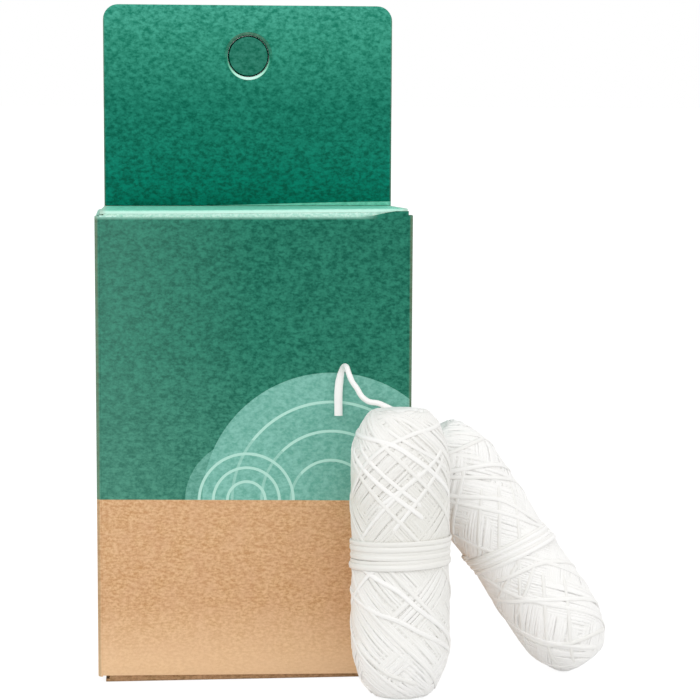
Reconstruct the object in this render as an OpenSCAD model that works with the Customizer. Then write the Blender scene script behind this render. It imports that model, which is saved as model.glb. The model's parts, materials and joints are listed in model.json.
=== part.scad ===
// Boxed set of wound silk floss: a folding carton with a hang tab, and two wound bundles beside it.
// Millimetres. The origin is the centre of the carton's base, +X to the right, +Y to the back, +Z up.

/* [Carton] */
// Width of the carton, side to side
carton_w = 54; // [48:1:70]
// Depth of the carton, front to back
carton_d = 24; // [20:1:36]
// Height of the closed lid's top face
carton_h = 81; // [70:1:110]
// Thickness of the board
board = 0.45; // [0.3:0.05:0.6]
// Outer radius of the four upright folds
fold_r = 0.8; // [0.65:0.05:1.5]
// Outer radius of the folds of the lids and flaps
crease_r = 0.6; // [0.6:0.05:0.8]
// Play between boards that only lie against each other
play = 0.1; // [0.05:0.01:0.15]
// How far the front panel's top edge lies below the lid's top face
front_drop = 1; // [0.8:0.1:2]
// How far the front panel's bottom edge lies above the base
front_lift = 0.9; // [0.7:0.1:1.4]
// Depth of the shallow relief along the front panel's top edge
relief = 0.35; // [0.1:0.05:0.6]
// Width of each raised end of the front panel's top edge
relief_end = 5; // [3:0.5:8]
// Width of the glue flap
glue_w = 11; // [6:1:14]
// Taper of the glue flap's ends, in degrees
glue_taper = 30; // [15:5:45]

/* [Lids and flaps] */
// How much narrower the lids are than the carton, both sides together
lid_inset = 2.6; // [2:0.2:4]
// Length of the tuck flaps
tuck_l = 11; // [8:0.5:11.5]
// Corner radius of the tuck flaps
tuck_r = 4; // [2:0.5:6]
// How much narrower a tuck flap is than its lid, each side
tuck_inset = 0.6; // [0.4:0.1:2]
// Length of the dust flaps, from the carton's side
dust_l = 15; // [10:0.5:17]
// Taper of the dust flap's rear edge, in degrees
dust_taper = 15; // [14:1:20]
// Room between the front panel's outer face and a dust flap
dust_front = 5.4; // [5:0.1:6.5]
// Room between the back panel's outer face and a dust flap, at its fold
dust_rear = 1.4; // [1.3:0.1:3]
// Corner radius of the dust flaps
dust_r = 2.5; // [1:0.5:4]

/* [Hang tab] */
// Height of the hang tab above the lid
tab_h = 35.6; // [25:0.2:45]
// Corner radius of the hang tab
tab_r = 2.7; // [1.5:0.1:5]
// Diameter of the hang hole
hole_d = 7.8; // [6:0.1:9]
// Distance from the hole's centre to the tab's top edge
hole_drop = 9; // [7:0.5:14]
// Radial play of the knock-out disc
disc_play = 0.15; // [0.1:0.05:0.3]

/* [Floss] */
// Length of a wound bundle, tip to tip
bundle_l = 49; // [46:0.5:56]
// Outer radius of the front bundle's winding
front_r = 8.75; // [8.2:0.05:9.5]
// Outer radius of the side bundle's winding
side_r = 8.05; // [7.8:0.05:9]
// Diameter of the strand that winds round the bundles
strand_d = 0.9; // [0.8:0.05:1]
// Clear gap between the two layers of the winding
layer_gap = 0.46; // [0.45:0.01:0.6]
// Depth of the waist under the wrap
waist_dip = 0.9; // [0.6:0.05:1.1]
// Pitch of the wrap's turns
wrap_pitch = 1.5; // [1.4:0.05:1.8]
// Turns of the wrap
wrap_turns = 3; // [2:1:4]
// Diameter of the loose end
loose_d = 0.95; // [0.8:0.05:1.1]

/* [Bundle places] */
// Distance of the front bundle from the carton's middle plane
front_bundle_x = 24; // [16:0.5:24]
// Lean of the front bundle against the front panel, in degrees
front_lean = 5; // [3:0.5:10]
// Lean of the side bundle against the side panel, in degrees
side_lean = 34; // [28:1:38]
// Rearward lean of the side bundle, in degrees
side_back = 5; // [0:0.5:8]
// How far the side bundle's middle lies in front of the carton's middle plane
side_forward = 7.6; // [5:0.1:9]
// Gap between a bundle and the panel that it leans on
lean_gap = 0.3; // [0.2:0.05:0.5]

/* [Hidden] */

green = "#2C7D65";
light_green = "#6FCDB2";
kraft = "#D9AC7C";
silk = "#F5F4EF";
silk_core = "#ECE9E0";

// Levels and faces of the carton
front_y = -carton_d / 2;
back_y = carton_d / 2;
lid_under = carton_h - board;
top_dust_z = lid_under - play - crease_r;
bottom_dust_z = board + play + crease_r;
front_top = carton_h - front_drop;
tab_z = carton_h + play / 2;
tab_y = back_y - 2 * board;
tab_top = carton_h + tab_h;
hole_z = tab_top - hole_drop;
lid_w = carton_w - lid_inset;
tuck_y = front_y + board + play;
tuck_top = carton_h - crease_r;
wide = carton_w + carton_d;

// The winding: cycles of the to-and-fro, turns in each, and how far it runs towards the tips
cycles = 5;
turns_per_cycle = 2.2;
reach = 0.9;
wave_k = 0.9;
switch_u = 0.024;
first_u = 0.62;
last_u = cycles + 0.56;
rings_per_loop = 24;
strand_sides = 6;
bend_r = strand_d;
root_depth = 0.35;
layer_step = strand_d + layer_gap;
skin = strand_d / 2 + 0.05;
outer_skin = skin + layer_step;
wrap_skin = outer_skin + strand_d + 0.05;
wrap_angle = 18;

// The core's outline: a long rounded barrel with a drawn-in waist
core_half = bundle_l / 2;
barrel_n = 3.6;
barrel_m = 2.2;
waist_half = 4;

// The loose end's route, from inside the front bundle's top, round behind its tip, up and over
loose_route = [[25.35, -22.13, 46.41], [26.57, -21.28, 46.73], [27.15, -19.92, 47.13], [27, -18.46, 47.46],
    [26.13, -17.24, 47.62], [24.74, -16.64, 47.65], [23.23, -16.74, 47.89], [21.93, -17.16, 48.54],
    [20.53, -17.27, 49.14], [19.02, -17.22, 49.39], [17.8, -17.14, 50.29], [17.02, -17.11, 51.59],
    [16.15, -17.11, 52.85], [15.59, -16.71, 54.2], [15.33, -15.55, 55.1], [15.03, -14.06, 54.99],
    [14.7, -13.03, 53.97], [14.42, -12.76, 52.49], [14.26, -12.78, 50.99], [14.21, -12.79, 49.46],
    [14.23, -12.79, 47.92], [14.25, -12.79, 46.4]];
loose_sides = 8;
loose_turn = 22.5;

function unit(v) = v / norm(v);
function clamp(x) = min(1, max(0, x));
function ease(x) = let (c = clamp(x)) c * c * (3 - 2 * c);
function arc(c, r, a0, a1, n = 8) = [for (i = [0:n]) c + r * [cos(a0 + (a1 - a0) * i / n), sin(a0 + (a1 - a0) * i / n)]];

// Board shapes

// A rectangle with four round corners, made of true circles
module rounded_rect(w, d, r) {
    square([w - 2 * r, d], center = true);
    square([w, d - 2 * r], center = true);
    for (x = [-1, 1], y = [-1, 1])
        translate([x * (w / 2 - r), y * (d / 2 - r)])
            circle(r, $fn = 48);
}

// The sleeve's section between its outer and inner faces
module sleeve_section() {
    difference() {
        rounded_rect(carton_w, carton_d, fold_r);
        rounded_rect(carton_w - 2 * board, carton_d - 2 * board, fold_r - board);
    }
}

// A front or back panel between the upright folds; side is -1 at the front and 1 at the back
module wide_panel(side, z0, z1) {
    translate([-carton_w / 2 + fold_r, side < 0 ? -carton_d / 2 : carton_d / 2 - board, z0])
        cube([carton_w - 2 * fold_r, board, z1 - z0]);
}

// A quarter round fold along X or Y is cut from this ring, drawn in its own plane
module quarter_ring() {
    intersection() {
        difference() {
            circle(crease_r, $fn = 48);
            circle(crease_r - board, $fn = 48);
        }
        translate([-crease_r, 0])
            square(crease_r);
    }
}

// A lid's fold at its front edge, along X, with its centre at the origin
module lid_fold(w) {
    translate([-w / 2, 0, 0])
        rotate([90, 0, 90])
            linear_extrude(w)
                quarter_ring();
}

// A lid lying flat: its top face is at z = 0 and its free edge at the front, with its fold
module lid_board(w, y_free, y_hinge) {
    fold_y = y_free + crease_r;
    translate([-w / 2, fold_y, -board])
        cube([w, y_hinge - fold_y, board]);
    translate([0, fold_y, -crease_r])
        lid_fold(w);
}

// A tuck flap hanging from z = 0, its outer face at y = 0
module tuck_board(w) {
    rotate([90, 0, 0])
        translate([0, 0, -board])
            linear_extrude(board)
                polygon(concat(
                    [[w / 2, 0], [-w / 2, 0]],
                    arc([-w / 2 + tuck_r, -tuck_l + tuck_r], tuck_r, 180, 270),
                    arc([w / 2 - tuck_r, -tuck_l + tuck_r], tuck_r, 270, 360)));
}

// A dust flap: its fold starts at the origin, on the side panel's outer face, and it runs to +X
module dust_flap() {
    y0 = front_y + dust_front;
    y1 = back_y - dust_rear;
    y2 = y1 - dust_l * tan(dust_taper);
    translate([crease_r, y1, 0])
        rotate([90, 0, 0])
            linear_extrude(y1 - y0)
                quarter_ring();
    translate([0, 0, crease_r - board])
        linear_extrude(board)
            polygon(concat(
                [[crease_r, y1], [crease_r, y0]],
                arc([dust_l - dust_r, y0 + dust_r], dust_r, 270, 360),
                arc([dust_l - dust_r, y2 + dust_r * tan(dust_taper) - dust_r], dust_r, 0, 90 - dust_taper)));
}

// The hang tab's outline, drawn in X and Z
module tab_outline() {
    h = tab_top - tab_z;
    polygon(concat(
        [[-lid_w / 2, 0], [lid_w / 2, 0]],
        arc([lid_w / 2 - tab_r, h - tab_r], tab_r, 0, 90),
        arc([-lid_w / 2 + tab_r, h - tab_r], tab_r, 90, 180)));
}

// The outline as a slab whose front face is at y = 0
module tab_slab(t) {
    translate([0, t, 0])
        rotate([90, 0, 0])
            linear_extrude(t)
                tab_outline();
}

// The round hole through the tab
module hang_hole(d, t) {
    translate([0, tab_y - (t - 2 * board) / 2, hole_z])
        rotate([-90, 0, 0])
            cylinder(d = d, h = t, $fn = 96);
}

// Wound forms

function barrel(z, r) = r * pow(1 - pow(min(1, abs(z / core_half)), barrel_n), 1 / barrel_m)
    - waist_dip * exp(-pow(z / waist_half, 2));
function core_r(r_out) = r_out - outer_skin - strand_d / 2;
function barrel_normal(z, r) = unit([1, (barrel(z - 0.05, r) - barrel(z + 0.05, r)) / 0.1]);

// A point at a height along the core, lifted off its surface, at an angle round it
function on_core(z, a, lift, r) = let (n = barrel_normal(z, r), q = barrel(z, r) + lift * n[0])
    [q * cos(a), q * sin(a), z + lift * n[1]];
function core_normal(z, a, r) = let (n = barrel_normal(z, r)) [n[0] * cos(a), n[0] * sin(a), n[1]];

// The to-and-fro along the axis, from -1 to 1, and the layer, 0 inside on the way up and 1 outside
function wave(u) = -asin(wave_k * cos(360 * u)) / asin(wave_k);
function layer(u) = let (p = u - floor(u))
    p < 0.25 ? 1 - ease((p + switch_u) / (2 * switch_u))
    : p < 0.75 ? ease((p - 0.5 + switch_u) / (2 * switch_u))
    : 1 - ease((p - 1 + switch_u) / (2 * switch_u));
function wind_z(u) = reach * core_half * wave(u);
function wind_a(u) = 360 * turns_per_cycle * u;
function wind_point(u, r) = on_core(wind_z(u), wind_a(u), skin + layer_step * layer(u), r);
function wind_normal(u, r) = core_normal(wind_z(u), wind_a(u), r);
function wrap_z(v) = wrap_pitch * (v - wrap_turns / 2);
function wrap_normal(v) = let (a = wrap_angle + 360 * v) [cos(a), sin(a), 0];
function wrap_point(v, r) = (barrel(wrap_z(v), r) + wrap_skin) * wrap_normal(v) + [0, 0, wrap_z(v)];

// A ring of a tube is [place, direction, side]
function ring(p, t, n) = [p, unit(t), unit(cross(t, n))];
function wind_ring(u, r) = ring(wind_point(u, r), wind_point(u + 0.002, r) - wind_point(u - 0.002, r), wind_normal(u, r));
function wrap_ring(v, r) = ring(wrap_point(v, r), wrap_point(v + 0.004, r) - wrap_point(v - 0.004, r), wrap_normal(v));

// The rings of an end that bends and runs square into the core, in order from the winding
function end_rings(start, n, lift, way) = let (p = start[0], t = way * start[1])
    concat(
        [for (a = [30:30:90]) [p + bend_r * sin(a) * t - bend_r * (1 - cos(a)) * n,
            way * (cos(a) * t - sin(a) * n), start[2]]],
        [[p + bend_r * t - (lift + root_depth) * n, -way * n, start[2]]]);
function reversed(list) = [for (i = [len(list) - 1:-1:0]) list[i]];
function with_ends(rings, n0, n1, lift) = concat(
    reversed(end_rings(rings[0], n0, lift, -1)),
    rings,
    end_rings(rings[len(rings) - 1], n1, lift, 1));

function steps(turns) = round(turns * rings_per_loop);
function winding_rings(r) = let (n = steps((last_u - first_u) * turns_per_cycle))
    with_ends([for (i = [0:n]) wind_ring(first_u + (last_u - first_u) * i / n, r)],
        wind_normal(first_u, r), wind_normal(last_u, r), outer_skin);
function wrap_rings(r) = let (n = steps(wrap_turns))
    with_ends([for (i = [0:n]) wrap_ring(wrap_turns * i / n, r)],
        wrap_normal(0), wrap_normal(wrap_turns), wrap_skin);

// One unbroken tube through a list of rings
module tube(rings, d, sides, turn = 0) {
    n = len(rings);
    points = [for (k = rings, i = [0:sides - 1]) let (a = turn + 360 * i / sides, up = cross(k[1], k[2]))
        k[0] + d / 2 * (cos(a) * k[2] + sin(a) * up)];
    walls = [for (j = [0:n - 2], i = [0:sides - 1]) let (a = j * sides + i, b = j * sides + (i + 1) % sides)
        each [[a, b, a + sides], [b, b + sides, a + sides]]];
    caps = [for (i = [1:sides - 2]) each
        [[0, i + 1, i], [(n - 1) * sides, (n - 1) * sides + i, (n - 1) * sides + i + 1]]];
    polyhedron(points, concat(walls, caps), convexity = 10);
}

// The least clear gap of a tube to itself, on three points between each two rings, past its near neighbours
near = 15;
function middle_line(rings) = [for (i = [0:len(rings) - 2], k = [0:2])
    rings[i][0] + (rings[i + 1][0] - rings[i][0]) * k / 3];
function least_gap(p) = min([for (i = [0:len(p) - 1 - near]) min([for (j = [i + near:len(p) - 1]) norm(p[i] - p[j])])])
    - strand_d;

module core(r_out) {
    r = core_r(r_out);
    half = [for (i = [0:20]) core_half * sin(90 * i / 20)];
    heights = concat([for (i = [20:-1:1]) -half[i]], half);
    rotate_extrude($fn = 96)
        polygon(concat([[0, -core_half]], [for (z = heights) if (abs(z) < core_half) [barrel(z, r), z]],
            [[0, core_half]]));
}

module winding(r_out) {
    tube(winding_rings(core_r(r_out)), strand_d, strand_sides);
}

module wrap(r_out) {
    tube(wrap_rings(core_r(r_out)), strand_d, strand_sides);
}

// How far a bundle reaches from its middle in a direction, for an axis direction
function envelope(r_out) = let (r = core_r(r_out), full = outer_skin + strand_d / 2)
    concat(
        [[0, core_half], [0, -core_half], [barrel(0, r) + wrap_skin + strand_d / 2, 0]],
        [for (i = [-10:10]) let (z = i / 10 * reach * core_half, n = barrel_normal(z, r))
            [barrel(z, r) + full * n[0], z + full * n[1]]]);
function bundle_reach(r_out, axis, way) = let (c = axis * way, s = sqrt(max(0, 1 - c * c)))
    max([for (e = envelope(r_out)) e[1] * c + e[0] * s]);

front_axis = [0, sin(front_lean), cos(front_lean)];
front_centre = [front_bundle_x, front_y - lean_gap - bundle_reach(front_r, front_axis, [0, 1, 0]),
    bundle_reach(front_r, front_axis, [0, 0, -1])];
side_axis = unit([-sin(side_lean), tan(side_back), cos(side_lean)]);
side_centre = [carton_w / 2 + lean_gap + bundle_reach(side_r, side_axis, [-1, 0, 0]), -side_forward,
    bundle_reach(side_r, side_axis, [0, 0, -1])];
echo(front_bundle_middle = front_centre, side_bundle_middle = side_centre);
echo(least_gaps_mm = [for (r = [front_r, side_r], rings = [winding_rings(core_r(r)), wrap_rings(core_r(r))])
    least_gap(middle_line(rings))]);

module at_front_bundle() {
    translate(front_centre)
        rotate([-front_lean, 0, 0])
            children();
}

module at_side_bundle() {
    tilt = acos(side_axis[2]);
    heading = atan2(side_axis[1], side_axis[0]);
    translate(side_centre)
        rotate([0, tilt, heading])
            children();
}

// The carton's sleeve

module front_panel() {
    // The top edge dips a little between its raised ends
    dip = [carton_w / 2 - relief_end, front_top - relief];
    color(green)
        difference() {
            wide_panel(-1, front_lift, front_top);
            translate([0, front_y - 1, 0])
                rotate([-90, 0, 0])
                    mirror([0, 1, 0])
                        linear_extrude(fold_r + 2)
                            polygon([[-dip[0], dip[1]], [dip[0], dip[1]],
                                [dip[0] + 2, front_top + 0.01], [-dip[0] - 2, front_top + 0.01]]);
        }
}

module back_panel() {
    color(green)
        wide_panel(1, crease_r, tab_z);
}

// A side panel with its two upright folds
module side_panel() {
    color(green)
        translate([0, 0, bottom_dust_z])
            linear_extrude(top_dust_z - bottom_dust_z)
                intersection() {
                    sleeve_section();
                    translate([-carton_w / 2, -carton_d / 2])
                        square([fold_r, carton_d]);
                }
}

module left_side_panel() {
    side_panel();
}

module right_side_panel() {
    mirror([1, 0, 0])
        side_panel();
}

module glue_flap() {
    z0 = bottom_dust_z + 1;
    z1 = top_dust_z - 1;
    y1 = back_y - fold_r;
    y0 = y1 - glue_w;
    cut = glue_w * tan(glue_taper);
    color(kraft)
        translate([-carton_w / 2 + board, 0, 0])
            rotate([90, 0, 90])
                linear_extrude(board)
                    polygon([[y1, z0], [y1, z1], [y0, z1 - cut], [y0, z0 + cut]]);
}

// The hang tab: two layers folded over at the top, with a knock-out disc in the hole

module hang_tab_front() {
    color(green)
        difference() {
            union() {
                intersection() {
                    translate([0, tab_y, tab_z])
                        tab_slab(board);
                    translate([-wide, 0, 0])
                        cube([2 * wide, carton_d, tab_top - board]);
                }
                intersection() {
                    translate([0, tab_y, tab_z])
                        tab_slab(2 * board);
                    translate([-wide, tab_y + board, tab_top - board])
                        rotate([0, 90, 0])
                            cylinder(r = board, h = 2 * wide, $fn = 48);
                    translate([-wide, 0, tab_top - board])
                        cube([2 * wide, carton_d, carton_d]);
                }
            }
            hang_hole(hole_d, 4);
        }
}

module hang_tab_rear() {
    color(green)
        difference() {
            intersection() {
                translate([0, tab_y + board, tab_z])
                    tab_slab(board);
                translate([-wide, 0, 0])
                    cube([2 * wide, carton_d, tab_top - board]);
            }
            hang_hole(hole_d, 4);
        }
}

module hang_hole_disc() {
    color(green)
        hang_hole(hole_d - 2 * disc_play, 2 * board);
}

// The closures: a lid, its tuck flap and two dust flaps at each end

module top_lid() {
    color(light_green)
        translate([0, 0, carton_h])
            lid_board(lid_w, tuck_y, tab_y - play);
}

module top_tuck_flap() {
    color(green)
        translate([0, tuck_y, tuck_top])
            tuck_board(lid_w - 2 * tuck_inset);
}

module top_dust_flap_left() {
    color(kraft)
        translate([-carton_w / 2, 0, top_dust_z])
            dust_flap();
}

module top_dust_flap_right() {
    mirror([1, 0, 0])
        top_dust_flap_left();
}

module bottom_lid() {
    color(kraft) {
        mirror([0, 0, 1])
            lid_board(lid_w, tuck_y, back_y - crease_r);
        translate([0, back_y - crease_r, crease_r])
            mirror([0, 1, 0])
                mirror([0, 0, 1])
                    lid_fold(lid_w);
    }
}

module bottom_tuck_flap() {
    color(kraft)
        translate([0, tuck_y, crease_r])
            mirror([0, 0, 1])
                tuck_board(lid_w - 2 * tuck_inset);
}

module bottom_dust_flap_left() {
    color(kraft)
        translate([-carton_w / 2, 0, bottom_dust_z])
            mirror([0, 0, 1])
                dust_flap();
}

module bottom_dust_flap_right() {
    mirror([1, 0, 0])
        bottom_dust_flap_left();
}

// The two bundles

module front_bundle_core() {
    color(silk_core)
        at_front_bundle()
            core(front_r);
}

module front_bundle_winding() {
    color(silk)
        at_front_bundle()
            winding(front_r);
}

module front_bundle_wrap() {
    color(silk)
        at_front_bundle()
            wrap(front_r);
}

module loose_end() {
    last = len(loose_route) - 1;
    way = [for (i = [0:last]) unit(loose_route[min(i + 1, last)] - loose_route[max(i - 1, 0)])];
    color(silk)
        tube([for (i = [0:last]) ring(loose_route[i], way[i], cross(way[i], [1, 0, 0]))],
            loose_d, loose_sides, loose_turn);
}

module side_bundle_core() {
    color(silk_core)
        at_side_bundle()
            core(side_r);
}

module side_bundle_winding() {
    color(silk)
        at_side_bundle()
            winding(side_r);
}

module side_bundle_wrap() {
    color(silk)
        at_side_bundle()
            wrap(side_r);
}

front_panel();
back_panel();
left_side_panel();
right_side_panel();
glue_flap();
hang_tab_front();
hang_tab_rear();
hang_hole_disc();
top_lid();
top_tuck_flap();
top_dust_flap_left();
top_dust_flap_right();
bottom_lid();
bottom_tuck_flap();
bottom_dust_flap_left();
bottom_dust_flap_right();
front_bundle_core();
front_bundle_winding();
front_bundle_wrap();
loose_end();
side_bundle_core();
side_bundle_winding();
side_bundle_wrap();
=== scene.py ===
import json
import math

import bmesh
import bpy
from mathutils import Matrix, Vector, noise

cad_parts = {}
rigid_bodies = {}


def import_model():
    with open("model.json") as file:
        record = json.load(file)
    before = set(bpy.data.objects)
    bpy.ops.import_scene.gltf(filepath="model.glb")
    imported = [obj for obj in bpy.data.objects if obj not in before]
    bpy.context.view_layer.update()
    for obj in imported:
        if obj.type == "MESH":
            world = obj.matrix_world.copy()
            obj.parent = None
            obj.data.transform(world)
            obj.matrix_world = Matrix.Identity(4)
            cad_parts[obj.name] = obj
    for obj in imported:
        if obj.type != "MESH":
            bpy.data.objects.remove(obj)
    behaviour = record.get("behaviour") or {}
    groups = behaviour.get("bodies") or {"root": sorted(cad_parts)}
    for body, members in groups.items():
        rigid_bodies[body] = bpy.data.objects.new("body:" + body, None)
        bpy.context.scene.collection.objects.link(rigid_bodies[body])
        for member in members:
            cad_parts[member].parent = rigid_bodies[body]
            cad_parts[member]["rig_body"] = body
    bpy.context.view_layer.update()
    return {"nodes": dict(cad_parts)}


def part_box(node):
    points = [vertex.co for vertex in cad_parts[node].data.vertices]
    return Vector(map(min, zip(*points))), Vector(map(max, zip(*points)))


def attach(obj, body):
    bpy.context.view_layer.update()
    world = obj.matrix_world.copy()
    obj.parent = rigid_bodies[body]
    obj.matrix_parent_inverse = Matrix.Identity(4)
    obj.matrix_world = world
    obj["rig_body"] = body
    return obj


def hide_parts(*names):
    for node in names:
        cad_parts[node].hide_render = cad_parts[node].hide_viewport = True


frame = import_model()
collection = bpy.context.scene.collection

# The camera. It stands about 380 mm in front of the carton, a little to the left of its middle
# and above its lid, and looks slightly down and to the right.
mm = 0.001


def add_object(name, data):
    """An object in the scene, made from a camera, a mesh or a lamp."""
    thing = bpy.data.objects.new(name, data)
    collection.objects.link(thing)
    return thing


camera_place = Vector((-18.31, -379.62, 101.74)) * mm
camera_yaw, camera_pitch, camera_roll = (math.radians(turn) for turn in (-5.37, 6.82, 0.28))
camera_lens = 111.85
level_right = Vector((math.cos(camera_yaw), math.sin(camera_yaw), 0))
level_ahead = Vector((-math.sin(camera_yaw), math.cos(camera_yaw), 0))
upright = Vector((0, 0, 1))
camera_ahead = level_ahead * math.cos(camera_pitch) - upright * math.sin(camera_pitch)
camera_up = level_ahead * math.sin(camera_pitch) + upright * math.cos(camera_pitch)
camera_right = level_right * math.cos(camera_roll) + camera_up * math.sin(camera_roll)
camera_up = camera_up * math.cos(camera_roll) - level_right * math.sin(camera_roll)

camera_data = bpy.data.cameras.new("camera")
camera_data.lens = camera_lens
camera_data.sensor_width = 36
camera_data.clip_start = 0.01
camera_data.clip_end = 20
camera = add_object("camera", camera_data)
camera.matrix_world = Matrix((camera_right, camera_up, -camera_ahead)).transposed().to_4x4()
camera.location = camera_place
bpy.context.scene.camera = camera

# The loose end of the front bundle's floss. Waxed silk floss, about a millimetre across, which
# comes out behind the bundle's tip, stands up in a hairpin and hangs down on the front panel,
# where it is pressed flat. Its end is cut square.


def linear(colour):
    """An sRGB colour such as #80FF00 as the linear values that a shader takes."""
    parts = [int(colour[i:i + 2], 16) / 255 for i in (1, 3, 5)]
    return [p / 12.92 if p <= 0.04045 else ((p + 0.055) / 1.055) ** 2.4 for p in parts] + [1]


def add_node(tree, kind, inputs=None, **settings):
    """Adds a node. Each of its inputs is a value, or another node's output to link."""
    node = tree.nodes.new(kind)
    for name, value in settings.items():
        setattr(node, name, value)
    for key, value in (inputs or {}).items():
        if isinstance(value, bpy.types.NodeSocket):
            tree.links.new(value, node.inputs[key])
        else:
            node.inputs[key].default_value = value
    return node


def calculate(tree, operation, *values):
    """The result of a calculation on numbers and other nodes' outputs."""
    return add_node(tree, "ShaderNodeMath", dict(enumerate(values)), operation=operation).outputs[0]


def map_range(tree, value, start, end, low=0, high=1, **settings):
    """Runs from low to high while a value runs from start to end."""
    return add_node(tree, "ShaderNodeMapRange", {"Value": value, "From Min": start, "From Max": end,
        "To Min": low, "To Max": high}, **settings).outputs[0]


def mix_colours(tree, share, under, over):
    """One colour over another, by a share from 0 to 1."""
    return add_node(tree, "ShaderNodeMix", {0: share, 6: under, 7: over}, data_type="RGBA").outputs[2]


def add_noise(tree, place, scale, detail, roughness=0.5):
    """A noise's value at a place."""
    return add_node(tree, "ShaderNodeTexNoise", {"Vector": place, "Scale": scale, "Detail": detail,
        "Roughness": roughness}).outputs[0]


def new_material(name):
    """A material with its Principled shader, ready for its pattern."""
    material = bpy.data.materials.new(name)
    material.use_nodes = True
    return material, material.node_tree, material.node_tree.nodes["Principled BSDF"]


# Waxed silk floss: reeled silk filaments laid side by side under a thin coat of wax. The
# filaments are far finer than a pixel, so they are drawn as streaks of about 0.2 mm, with a
# soft, even gloss.
silk, tree, shader = new_material("waxed_silk_floss")
place = add_node(tree, "ShaderNodeAttribute", attribute_type="GEOMETRY", attribute_name="strand_place")
tone = add_node(tree, "ShaderNodeAttribute", attribute_type="GEOMETRY", attribute_name="strand_tone")
streak_place = add_node(tree, "ShaderNodeMapping", {"Vector": place.outputs["Vector"],
    "Scale": (2.2, 2.2, 0.16)})
streaks = add_noise(tree, streak_place.outputs[0], 1.0, 2.0)
# A strand's tone carries its random tone and also painted light and shade: by height and bundle, by lying on
# top or under, and by how proud it stands.
brightness = calculate(tree, "MULTIPLY_ADD", streaks, 0.5, tone.outputs["Fac"])
floss_colour = mix_colours(tree, brightness, linear("#DAD8CE"), linear("#FCFBF9"))
streak_relief = add_node(tree, "ShaderNodeBump", {"Height": streaks, "Strength": 0.25,
    "Distance": 0.05 * mm})
tree.links.new(floss_colour, shader.inputs["Base Color"])
tree.links.new(streak_relief.outputs[0], shader.inputs["Normal"])
shader.inputs["Roughness"].default_value = 0.48
shader.inputs["IOR"].default_value = 1.45
shader.inputs["Sheen Weight"].default_value = 0.15
shader.inputs["Sheen Roughness"].default_value = 0.4

# The tree that sweeps strands: a ring of Sides points runs along every line, is as wide as the
# line's half_width and is pressed flat to its flatness along its outward direction.
strand_sweep = bpy.data.node_groups.new("strand_sweep", "GeometryNodeTree")
for socket_name, in_out, kind in (("Lines", "INPUT", "Geometry"), ("Sides", "INPUT", "Int"),
        ("Floss", "INPUT", "Material"), ("Strands", "OUTPUT", "Geometry")):
    strand_sweep.interface.new_socket(socket_name, in_out=in_out, socket_type="NodeSocket" + kind)


def store(geometry, name, value, data_type):
    """Keeps a value under a name on the points of the strand tree's geometry."""
    return add_node(strand_sweep, "GeometryNodeStoreNamedAttribute", {"Geometry": geometry, "Name": name,
        "Value": value}, data_type=data_type, domain="POINT").outputs[0]


def stored(name, data_type="FLOAT"):
    """A value that the strand tree's geometry carries."""
    return add_node(strand_sweep, "GeometryNodeInputNamedAttribute", {"Name": name},
        data_type=data_type).outputs[0]


entry = add_node(strand_sweep, "NodeGroupInput")
here = add_node(strand_sweep, "GeometryNodeInputPosition").outputs[0]
curves = add_node(strand_sweep, "GeometryNodeMeshToCurve", {"Mesh": entry.outputs["Lines"]})
curves = store(curves.outputs[0], "spine", here, "FLOAT_VECTOR")
run = add_node(strand_sweep, "GeometryNodeSplineParameter")
curves = store(curves, "along", run.outputs["Length"], "FLOAT")
ring = add_node(strand_sweep, "GeometryNodeCurvePrimitiveCircle", {"Resolution": entry.outputs["Sides"],
    "Radius": 1.0})
ring = store(ring.outputs[0], "around", here, "FLOAT_VECTOR")
tubes = add_node(strand_sweep, "GeometryNodeCurveToMesh", {"Curve": curves, "Profile Curve": ring,
    "Scale": stored("half_width"), "Fill Caps": True})
outward = stored("outward", "FLOAT_VECTOR")
off_spine = add_node(strand_sweep, "ShaderNodeVectorMath", {0: here, 1: stored("spine", "FLOAT_VECTOR")},
    operation="SUBTRACT")
height = add_node(strand_sweep, "ShaderNodeVectorMath", {0: off_spine.outputs[0], 1: outward},
    operation="DOT_PRODUCT")
press = calculate(strand_sweep, "SUBTRACT", stored("flatness"), 1.0)
press = calculate(strand_sweep, "MULTIPLY", press, height.outputs["Value"])
press = add_node(strand_sweep, "ShaderNodeVectorMath", {0: outward, "Scale": press}, operation="SCALE")
pressed = add_node(strand_sweep, "GeometryNodeSetPosition", {"Geometry": tubes.outputs[0],
    "Offset": press.outputs[0]})
around = add_node(strand_sweep, "ShaderNodeSeparateXYZ", {0: stored("around", "FLOAT_VECTOR")})
along = calculate(strand_sweep, "MULTIPLY", stored("along"), 1 / mm)
strand_place = add_node(strand_sweep, "ShaderNodeCombineXYZ", {0: around.outputs[0],
    1: around.outputs[1], 2: along})
marked = store(pressed.outputs[0], "strand_place", strand_place.outputs[0], "FLOAT_VECTOR")
smooth = add_node(strand_sweep, "GeometryNodeSetShadeSmooth", {"Geometry": marked})
real = add_node(strand_sweep, "GeometryNodeRealizeInstances", {"Geometry": smooth.outputs[0]})
dressed = add_node(strand_sweep, "GeometryNodeSetMaterial", {"Geometry": real.outputs[0],
    "Material": entry.outputs["Floss"]})
add_node(strand_sweep, "NodeGroupOutput", {"Strands": dressed.outputs[0]})


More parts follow.
